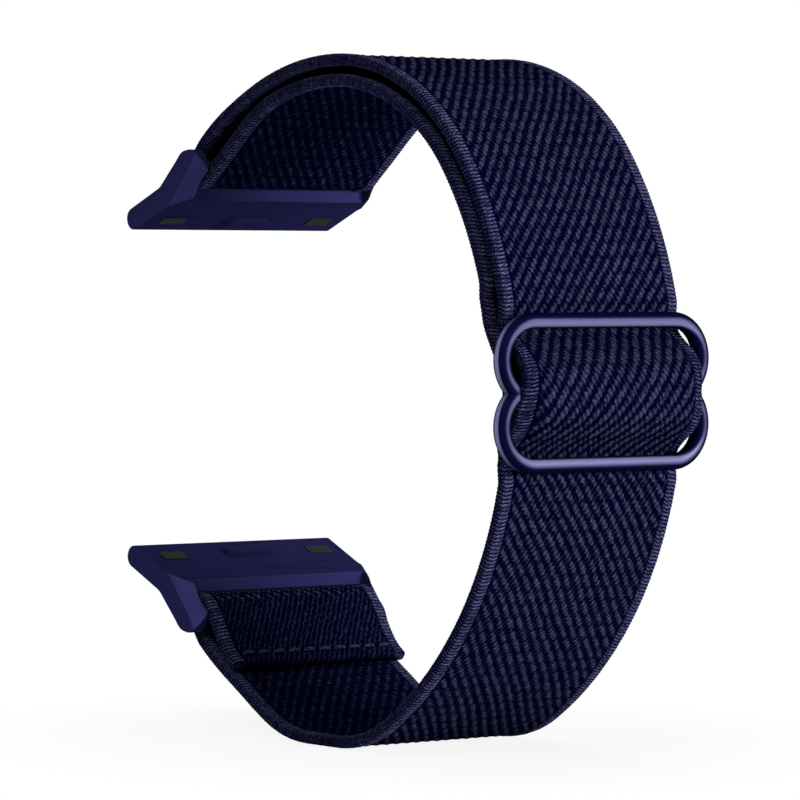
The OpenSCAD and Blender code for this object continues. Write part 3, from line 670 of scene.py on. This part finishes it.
# ---------------------------------------------------------------- Inner layer
# The strip runs back under the outer layer, a little apart from it, from the upper spring
# bar to the buckle, where it thins into the end that is sewn round the centre bar.
LAYER_GAP = 1.2
TAB_LEN, END_T, TAB_POINTS = 10.5, 1.1, 120     # the sewn end above the bar, and its thickness
WIRE_DEPTH, CENTRE_BAR_D = 1.9, 1.4
TAB_LEVEL, TAB_SLOPE = 0.2, 7.6          # where the sewn end leaves the bar, and how slowly
CROWN_CLOSER, CLOSE_FROM, CLOSE_OVER = 0.3, 30, 45
PART_FROM = 20                           # degrees down the rear where the two layers part
inner_offset = WEB_T + LAYER_GAP
fold_offset = 2 * FOLD_R + WEB_T
bar_drop = (WIRE_DEPTH - CENTRE_BAR_D) / 2
buckle_r = PRESS_R + TOUCH + WIRE_DEPTH / 2
centre_bar_r = buckle_r - bar_drop
wrap_in = CENTRE_BAR_D / 2 + TOUCH
wrap_out = wrap_in + END_T
tab_s = np.linspace(0, TAB_LEN, TAB_POINTS)
lean_by = np.sqrt(1 + np.gradient(pass_radius(tab_s), tab_s) ** 2)
tab_out = pass_radius(tab_s) - WEB_T * lean_by - TOUCH
tail_out = min(centre_bar_r - wrap_in, tab_out[-1] - END_T * lean_by[-1] - TOUCH)
end_depth = FRONT_R - tail_out
toward_bar = np.clip((tab_s - TAB_LEVEL) / TAB_SLOPE, 0, 1)
toward_bar = (toward_bar + ease(toward_bar)) / 2
back_in = (centre_bar_r - wrap_out) * (1 - toward_bar) + (tail_out - END_T) * toward_bar
back_out = back_in + END_T
inner_run = joined(bend(front_c, FRONT_R, s_heading(TAB_LEN), FRONT_HIGH),
                   bend(crown_c, CROWN_R, FRONT_HIGH, 0),
                   bend(rear_top_c, REAR_TOP_R, 0, upper_h))
inner_h = inner_run[1]
ahead = (s_heading(TAB_LEN) - inner_h) * math.radians(1) * FRONT_R / SETTLE
parted = ease((-inner_h - PART_FROM) / (REAR_TOP_FALL - PART_FROM))
sunk = (end_depth + (inner_offset - end_depth) * ease(ahead)
        - CROWN_CLOSER * ease((CLOSE_FROM - inner_h) / CLOSE_OVER)
        + (fold_offset - inner_offset + CROWN_CLOSER) * parted)
thick = END_T + (WEB_T - END_T) * ease(ahead)
inner_path = (inner_run[0] - (sunk + thick)[:, None] * out(inner_h))[::-1]
inner_webbing = dress(webbing("inner_webbing", inner_path, thick[::-1], wrist_face, birdseye,
                              lean=-1, start=outer_end, back_across=0.5))
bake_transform(inner_webbing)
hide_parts("webbing_inner_layer")

# ---------------------------------------------------------------- Sewn end round the centre bar
# The strip's cut end goes round the centre bar, is squeezed flat behind the pass, and is
# sewn to itself on the side that faces the wrist.
FREE_T, TUCKED_T = END_T - 0.04, 0.45    # its thickness before and between the pass's flanks
TUCK_FROM, TUCK_BY = 0.8, 2.4
RING_START, RING_END, RING_POINTS = 172, 8, 60   # the turn round the bar, in degrees
PINCH, PINCH_BLEND = 18.6 / WEB_W, 0.3   # the strip is gathered where it goes round the bar
bar_centre = front_point(centre_bar_r, 0.0)
ring_h = BUCKLE_H + np.linspace(RING_START, RING_END, RING_POINTS)
ring_part = bar_centre + wrap_out * out(ring_h)
anchor_path = np.concatenate((front_point(back_in, tab_s)[::-1], ring_part,
                              front_point(tab_out, tab_s)))
anchor_thick = np.full(len(anchor_path), FREE_T)
anchor_thick[-len(tab_s):] = np.interp(tab_s, (TUCK_FROM, TUCK_BY), (FREE_T, TUCKED_T))
anchor_webbing = dress(webbing("anchor_webbing", anchor_path, anchor_thick, twill, birdseye,
                               start=4.1, across=0.2, fine=0.2, back_across=0.8))


def gathered(x, yz, s):
    """Full width on the flank that faces the wrist, drawn in round the bar and behind it."""
    depth = np.linalg.norm(yz - front_c, axis=1)
    past = (np.interp(s, tab_s, back_out) + PINCH_BLEND / 2 - depth) / PINCH_BLEND
    return x * (PINCH + (1 - PINCH) * ease(past + 0.5)), yz


reshaped(anchor_webbing, gathered)
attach(anchor_webbing, "slider_webbing")
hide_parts("webbing_anchor_loop")

# ---------------------------------------------------------------- Seams
# Two rows of lockstitch in twisted thread: one through the flap under the lower bar, one
# through the sewn end.
THREAD_D, STITCH_LEN, STITCH_PITCH = 0.4, 1.5, 2.1
STITCH_DIP, THREAD_PROUD = 0.22, 0.02    # ends pulled into the webbing; middle just above it
STRANDS, ROPE_H, ROPE_LAY = 3, 0.10, 7   # the thread's twist
STITCH_SIDES, STITCH_RINGS = 10, 15
FLAP_SEAM_TURN, FLAP_SEAM_HALF = 1.1, 10.7
ANCHOR_SEAM_INSET, ANCHOR_SEAM_HALF = 1.6, 9.7
# dark is painted shade between the thread's strands, light a painted highlight on them
seam_thread = yarn_material("seam_thread", dark=(0.010, 0.010, 0.035, 1),
                            light=(0.085, 0.088, 0.21, 1), pitch=0.16, slant=0.9, depth=0.02)


def stitch_rows(name, rows, body, node):
    """Stitches along X; each row is (middle (Y, Z), outward normal, half length)."""
    verts, quads, caps, uv, shade, first = [], [], [], [], [], 0
    x = np.linspace(-1, 1, STITCH_RINGS)
    radius = THREAD_D / 2 * np.sqrt(np.clip(1 - np.abs(x) ** 6, 0.02, 1))
    dip = -STITCH_DIP * np.abs(x) ** 3
    angle = np.linspace(0, 2 * math.pi, STITCH_SIDES, endpoint=False)
    for middle, normal, reach in rows:
        across = np.array((-normal[1], normal[0]))
        count = int((2 * reach - STITCH_LEN) / STITCH_PITCH)
        for i in range(count + 1):
            centre = (i - count / 2) * STITCH_PITCH
            for k in range(STITCH_RINGS):
                twist = np.cos(STRANDS * angle + ROPE_LAY * x[k] + i)
                rope = 1 + ROPE_H * twist
                side = radius[k] * rope * np.cos(angle)
                lift = radius[k] * rope * np.sin(angle) + dip[k]
                yz = middle + side[:, None] * across + lift[:, None] * normal
                ring_x = np.full((STITCH_SIDES, 1), centre + x[k] * STITCH_LEN / 2)
                verts.append(np.concatenate((ring_x, yz), 1))
                uv.append(np.stack((angle / 6, np.full(STITCH_SIDES, centre + x[k])), 1))
                shade.append(0.6 + 0.4 * twist)
            more, more_caps = tube_faces(STITCH_RINGS, STITCH_SIDES, first)
            quads.append(more)
            caps += more_caps
            first += STITCH_RINGS * STITCH_SIDES
    quads = np.concatenate(quads)
    piece = mesh_of(name, np.concatenate(verts), quads, caps, np.concatenate(uv),
                    np.concatenate(shade), np.zeros(len(quads) + len(caps), int))
    piece.data.materials.append(seam_thread)
    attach(piece, body)
    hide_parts(node)


seam_h = flap_h + FLAP_SEAM_TURN
seam_at = rear_low_c + REAR_LOW_R * out(seam_h)
flap_top = 2 * WEB_T + 2 * EDGE_PROUD + 2 * TOUCH + THREAD_D / 2 + THREAD_PROUD
under_face = seam_at + (THREAD_D / 2 + THREAD_PROUD) * out(seam_h)
stitch_rows("flap_seam", [(seam_at - flap_top * out(seam_h), -out(seam_h), FLAP_SEAM_HALF),
                          (under_face, out(seam_h), FLAP_SEAM_HALF)],
            "strap", "flap_stitching")
seam_s = TAB_LEN - ANCHOR_SEAM_INSET
seam_r = np.interp(seam_s, tab_s, back_in) - THREAD_D / 2 - THREAD_PROUD
stitch_rows("anchor_seam",
            [(front_point(seam_r, seam_s), -out(s_heading(seam_s)), ANCHOR_SEAM_HALF)],
            "slider_webbing", "anchor_stitching")

# ---------------------------------------------------------------- Slider buckle
# A figure-eight frame of forged wire with a centre bar, coated in a smooth dark blue with
# a satin gloss. Its bars lie over the webbing and its window shows the pass.
WIRE_H, WIRE_ROUND, LOBE_R, LOBE_END = 1.6, 0.77, 4.0, 60
FRAME_PAST_WEB = 2.4
LOBE_POINTS, BAR_POINTS, BAR_SIDES = 60, 40, 24
# A painted highlight: the coating is painted lighter where the wire turns to the window, and in a
# narrow line on the lobes' outer side. Angles go round its section: 90 faces out of the buckle,
# 180 into the window.
HIGHLIGHT_AT, HIGHLIGHT_TURNS, CURVE_POW = 130, 42, 1.5    # where the painted highlight peaks on the bars, and its shift round the lobes
FADE_OUT, FADE_SHORTER, FADE_IN = 66, 40, 26
HIGHLIGHT_LESS = 0.70                       # what the painted highlight loses round the lobes
FLANK_AT, FLANK_WIDE = -2, 17            # a second, narrow painted highlight on the lobes' outer side
lobe_x = WEB_W / 2 + FRAME_PAST_WEB - WIRE_H / 2 - LOBE_R
lobe_s = HALF_PITCH - LOBE_R
waist_x = lobe_x + math.sqrt(LOBE_R ** 2 - lobe_s ** 2)


def rounded_section(width, height, radius, steps=12):
    """Closed section with rounded corners, anticlockwise: across, deep, and the direction
    that it faces in radians."""
    points = []
    for i, (sx, sy) in enumerate(((1, -1), (1, 1), (-1, 1), (-1, -1))):
        for a in np.radians(np.linspace(-90, 0, steps) + 90 * i):
            points.append((sx * (width / 2 - radius) + radius * math.cos(a),
                           sy * (height / 2 - radius) + radius * math.sin(a), a))
    return np.array(points)


def wire_path():
    """Centre line of the upper half: up the right lobe, along the bar and down the left."""
    a = np.radians(np.linspace(-LOBE_END, 90, LOBE_POINTS))
    right_lobe = np.stack((lobe_x + LOBE_R * np.cos(a), lobe_s + LOBE_R * np.sin(a), a), 1)
    bar_x = np.linspace(lobe_x, -lobe_x, BAR_POINTS)[1:-1]
    bar = np.stack((bar_x, np.full(len(bar_x), HALF_PITCH), np.full(len(bar_x), math.pi / 2)), 1)
    left_lobe = right_lobe[::-1] * (-1, 1, 1)
    left_lobe[:, 2] = math.pi - left_lobe[:, 2]
    return np.concatenate((right_lobe, bar, left_lobe))


section = rounded_section(WIRE_H, WIRE_DEPTH, WIRE_ROUND)
route = wire_path()
verts, quads, caps, painted_highlight, first = [], [], [], [], 0
for flip in (1, -1):
    for x, s, a in route:
        ring = section if flip > 0 else section[::-1]
        # painted highlight: a lighter band by the window and a thin line on the lobes' outer side,
        # kept in the relief attribute
        facing, curved = np.degrees(ring[:, 2]), abs(math.cos(a)) ** CURVE_POW
        crest = HIGHLIGHT_AT - HIGHLIGHT_TURNS * curved
        fade = np.where(facing < crest, FADE_OUT - FADE_SHORTER * curved, FADE_IN)
        window_side = np.clip(1 - np.abs(facing - crest) / fade, 0, 1)
        flank = curved * np.clip(1 - np.abs(facing - FLANK_AT) / FLANK_WIDE, 0, 1)
        painted_highlight.append(np.maximum(window_side * (1 - HIGHLIGHT_LESS * curved), flank))
        verts.append(np.stack((x + ring[:, 0] * math.cos(a),
                               flip * (s + ring[:, 0] * math.sin(a)), ring[:, 1]), 1))
    more, more_caps = tube_faces(len(route), len(section), first)
    quads.append(more)
    caps += more_caps
    first += len(route) * len(section)
bar_turn = np.linspace(0, 2 * math.pi, BAR_SIDES, endpoint=False)
for x in (-waist_x, waist_x):
    verts.append(np.stack((np.full(BAR_SIDES, x), CENTRE_BAR_D / 2 * np.cos(bar_turn),
                           CENTRE_BAR_D / 2 * np.sin(bar_turn) - bar_drop), 1))
painted_highlight.append(np.zeros(2 * BAR_SIDES))
more, more_caps = tube_faces(2, BAR_SIDES, first)
quads.append(more)
caps += more_caps
verts, quads = np.concatenate(verts), np.concatenate(quads)
tilt = math.radians(BUCKLE_H)
middle = front_point(buckle_r, 0.0)
up_frame, deep = verts[:, 1], verts[:, 2]
stood = np.stack((verts[:, 0], middle[0] + up_frame * math.cos(tilt) - deep * math.sin(tilt),
                  middle[1] + up_frame * math.sin(tilt) + deep * math.cos(tilt)), 1)
slider_buckle = mesh_of("slider_buckle", stood, quads, caps, stood[:, [0, 2]],
                        np.concatenate(painted_highlight), np.zeros(len(quads) + len(caps), int))


CLOUD_SCALE, CLOUD_ROUGH = 180.0, 0.06   # the slow clouds, per metre, and what they do to gloss


def grain_group():
    """Metal effect: fine speckle of a blasted or sprayed surface, and slow cloudiness."""
    tree = bpy.data.node_groups.new("fine_grain", "ShaderNodeTree")
    tree.interface.new_socket("Size", in_out="INPUT", socket_type="NodeSocketFloat")
    for name in ("Speckle", "Cloud"):
        tree.interface.new_socket(name, in_out="OUTPUT", socket_type="NodeSocketFloat")
    given = put(tree, "NodeGroupInput")
    lies = put(tree, "ShaderNodeTexCoord").outputs["Object"]
    scale = math_of(tree, "DIVIDE", 1.0, given.outputs["Size"])
    speckle = put(tree, "ShaderNodeTexNoise", {"Vector": lies, "Scale": scale, "Detail": 2.0,
                                               "Roughness": 0.7})
    cloud = put(tree, "ShaderNodeTexNoise", {"Vector": lies, "Scale": CLOUD_SCALE, "Detail": 3.0})
    put(tree, "NodeGroupOutput", {"Speckle": speckle.outputs["Fac"],
                                  "Cloud": cloud.outputs["Fac"]})
    return tree


fine_grain = grain_group()


def metal_material(name, dark, light, metallic, rough, grain, depth, highlight_colour=None,
                   specular=0.5, edge_tint=WHITE):
    """Metal or moulded rubber with a fine grain, its size and depth in mm; the optional
    lighter colour is a painted highlight, laid where the piece's relief attribute marks."""
    material, tree = new_material(name)
    grains = put(tree, "ShaderNodeGroup", node_tree=fine_grain)
    grains.inputs["Size"].default_value = grain * MM
    speckle = grains.outputs["Speckle"]
    colour = put(tree, "ShaderNodeMix", {0: speckle, 6: dark, 7: light}, data_type="RGBA")
    # painted highlight, laid where the relief attribute marks
    if highlight_colour:
        highlight_mask = put(tree, "ShaderNodeAttribute", attribute_name="relief")
        highlit = spread(tree, highlight_mask.outputs["Fac"], 0.0, 1.0, 0.0, 1.0, "SMOOTHSTEP")
        colour = put(tree, "ShaderNodeMix", {0: highlit, 6: colour.outputs[2], 7: highlight_colour},
                     data_type="RGBA")
    dull = spread(tree, grains.outputs["Cloud"], 0.0, 1.0, rough - CLOUD_ROUGH,
                  rough + CLOUD_ROUGH)
    bump = put(tree, "ShaderNodeBump", {"Strength": 1.0, "Distance": depth * MM,
                                        "Height": speckle})
    metal = put(tree, "ShaderNodeBsdfPrincipled",
                {"Base Color": colour.outputs[2], "Roughness": dull,
                 "Normal": bump.outputs[0], "Metallic": metallic,
                 "Specular IOR Level": specular, "Specular Tint": edge_tint})
    put(tree, "ShaderNodeOutputMaterial", {"Surface": metal.outputs[0]})
    return material


buckle_coat = metal_material("buckle_coat", dark=(0.002, 0.002, 0.018, 1),
                             light=(0.004, 0.004, 0.029, 1), metallic=0.6, rough=0.5,
                             grain=0.12, depth=0.0015, highlight_colour=(0.200, 0.196, 0.380, 1),
                             specular=0.0, edge_tint=(0.12, 0.12, 0.30, 1))
slider_buckle.data.materials.append(buckle_coat)
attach(slider_buckle, "buckle")
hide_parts("buckle_frame")

# ---------------------------------------------------------------- Lug adapters
# Each adapter is one blasted and anodised aluminium piece: two ears that hold the spring
# bar's tips, and the flat tongue that slides into its slot. Tumbling eases its edges.
SAME_POINT, SAME_SIDE, FLAT_WITHIN = 0.002, 0.01, math.radians(1.0)   # turn triangles to faces
EASED_EDGE, EASED_STEPS, EDGE_FROM = 0.28, 3, math.radians(24)
LONG_EDGE, EDGE_CUTS = 0.6, 7
EAR_FROM = WEB_W / 2 + 0.05              # the ears lie outside the webbing
EAR_DOME, DOME_AT, DOME_HALF, DOME_RISE = 0.5, -1.2, 3.0, 1.6
TRIM_BACK, TRIM_IN, TRIM_LONG, TRIM_DEEP = 0.8, 0.35, 2.3, 2.4   # the ear's inner corner
FACET_X, FACET_Y, FACET_Z = 0.745, 0.503, 0.438      # the way the corner facet faces; faces turned so are painted lighter, a painted highlight
FACET_FROM, FACET_BLEND = 0.945, 0.055
adapter_metal = metal_material("adapter_metal", dark=(0.010, 0.010, 0.048, 1),
                               light=(0.028, 0.028, 0.108, 1), metallic=0.3, rough=0.5,
                               grain=0.09, depth=0.006, highlight_colour=(0.029, 0.029, 0.112, 1),
                               specular=0.0, edge_tint=(0.12, 0.12, 0.25, 1))
for end, bar, way in (("upper", upper_bar, 1), ("lower", lower_bar, -1)):
    form = bmesh.new()
    form.from_mesh(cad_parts[end + "_adapter_body"].data)
    bmesh.ops.remove_doubles(form, verts=form.verts, dist=SAME_POINT * MM)
    bmesh.ops.dissolve_limit(form, angle_limit=FLAT_WITHIN, verts=form.verts, edges=form.edges)
    long_edges = [e for e in form.edges if e.calc_length() > LONG_EDGE * MM
                  and abs(e.verts[0].co.x - e.verts[1].co.x) < SAME_SIDE * MM
                  and abs(e.verts[0].co.x) > WEB_W / 2 * MM]
    bmesh.ops.subdivide_edges(form, edges=long_edges, cuts=EDGE_CUTS)
    for v in form.verts:
        if abs(v.co.x) < EAR_FROM * MM:
            continue
        y, z = v.co.y / MM - bar[0], way * (v.co.z / MM - bar[1])
        dome = EAR_DOME * max(0, 1 - ((y - DOME_AT) / DOME_HALF) ** 2) ** 1.5
        dome = dome * ease(z / DOME_RISE)
        trim = min(max(-y / TRIM_LONG, 0), 1) * min(max(-z / TRIM_DEEP, 0), 1)
        v.co.y += TRIM_BACK * trim * MM
        v.co.z += way * (dome + TRIM_IN * trim) * MM
    mesh = bpy.data.meshes.new(end + "_adapter")
    form.to_mesh(mesh)
    form.free()
    # painted highlight: faces turned like the corner facet get the adapter's lighter colour
    faces_facet = [abs(f.normal.x) * FACET_X - f.normal.y * FACET_Y
                   - f.normal.z * way * FACET_Z for f in mesh.polygons]
    facet_highlight = [min(1.0, max(0, d - FACET_FROM) / FACET_BLEND) for d in faces_facet]
    mesh.attributes.new("relief", "FLOAT", "FACE").data.foreach_set("value", facet_highlight)
    adapter = bpy.data.objects.new(end + "_adapter", mesh)
    bpy.context.scene.collection.objects.link(adapter)
    mesh.polygons.foreach_set("use_smooth", np.ones(len(mesh.polygons), bool))
    mesh.materials.append(adapter_metal)
    eased = adapter.modifiers.new("eased_edges", "BEVEL")
    eased.width, eased.segments = EASED_EDGE * MM, EASED_STEPS
    eased.limit_method, eased.angle_limit = "ANGLE", EDGE_FROM
    eased.harden_normals = True
    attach(adapter, end + "_adapter")
    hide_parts(end + "_adapter_body")

# ---------------------------------------------------------------- Catches and pads
# In each tongue an aluminium catch stands on two steel springs under a flush plate, and
# drops into a recess of the slot. Two rubber pads beside it keep the tongue from rattling.
bare_steel = metal_material("bare_steel", dark=(0.42, 0.43, 0.45, 1),
                            light=(0.58, 0.59, 0.61, 1), metallic=1.0, rough=0.3,
                            grain=0.05, depth=0.001)
pad_rubber = metal_material("pad_rubber", dark=(0.012, 0.012, 0.015, 1),
                            light=(0.022, 0.022, 0.026, 1), metallic=0.0, rough=0.75,
                            grain=0.08, depth=0.004, specular=0.05)


def finish_node(node, material):
    """Gives a carried-over CAD node its finish."""
    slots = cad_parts[node].data.materials
    slots.clear()
    slots.append(material)


for end in ("upper", "lower"):
    finish_node(end + "_catch", adapter_metal)
    finish_node(end + "_catch_plate", adapter_metal)
    finish_node(end + "_catch_springs", bare_steel)
    finish_node(end + "_pads", pad_rubber)

# ---------------------------------------------------------------- Spring bars
# A steel spring bar runs inside each turn of the webbing: a tube with a coil spring and two
# plungers, whose tips sit in the blind holes of the adapter's ears.
for end in ("upper", "lower"):
    for part in ("bar_tube", "plunger_left", "plunger_right", "bar_spring"):
        finish_node(end + "_" + part, bare_steel)
